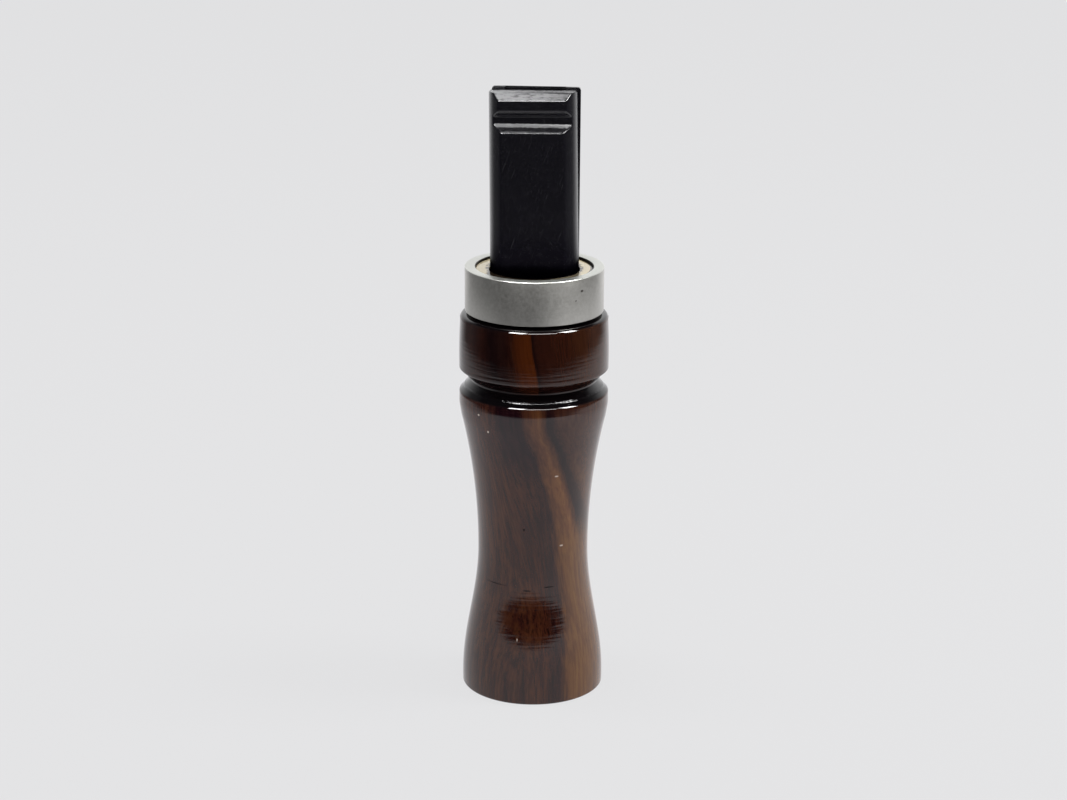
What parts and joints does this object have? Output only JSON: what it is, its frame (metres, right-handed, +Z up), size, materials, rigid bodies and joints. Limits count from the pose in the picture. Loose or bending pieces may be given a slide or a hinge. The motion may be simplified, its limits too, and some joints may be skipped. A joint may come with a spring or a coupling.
{
  "type": "bird call",
  "caption": "Mouth-blown bird call: turned wooden barrel with a waist, lanyard groove and metal band, and a pull-out two-part moulded mouthpiece holding a reed.",
  "frame": {"origin": "centre of the flat foot that the call stands on", "axes": "+Z up the bore towards the mouth; -Y is the side of the front half of the mouthpiece; +X is to the right of someone who looks at that side"},
  "size_m": [0.0326, 0.0326, 0.1344],
  "materials": {
    "lacquered_wood": "dark brown hardwood under clear gloss lacquer",
    "band_metal": "satin bead-blasted aluminium",
    "black_plastic": "moulded black plastic, semi-gloss with fine scratches",
    "reed_plastic": "thin dark plastic sheet",
    "seal_rubber": "black rubber"
  },
  "bodies": {
    "barrel": {"barrel": "lacquered_wood", "band": "band_metal"},
    "sealing_rings": {"upper_ring": "seal_rubber", "lower_ring": "seal_rubber"},
    "mouthpiece": {"front_half": "black_plastic", "rear_half": "black_plastic"},
    "reed": {"reed": "reed_plastic"}
  },
  "joints": [
    {"name": "mouthpiece_pull", "type": "slide", "parent": "barrel", "child": "sealing_rings", "axis": [0, 0, 1], "range_m": [0, 0.026]},
    {"name": "mouthpiece_turn", "type": "hinge", "parent": "sealing_rings", "child": "mouthpiece", "pos_m": [0, 0, 0.0857], "axis": [0, 0, 1], "continuous": true},
    {"name": "reed_flutter", "type": "hinge", "parent": "mouthpiece", "child": "reed", "pos_m": [0, 0, 0.0748], "axis": [1, 0, 0], "range_deg": [-0.5, 0.5], "stiffness_Nm_per_rad": 0.02}
  ]
}
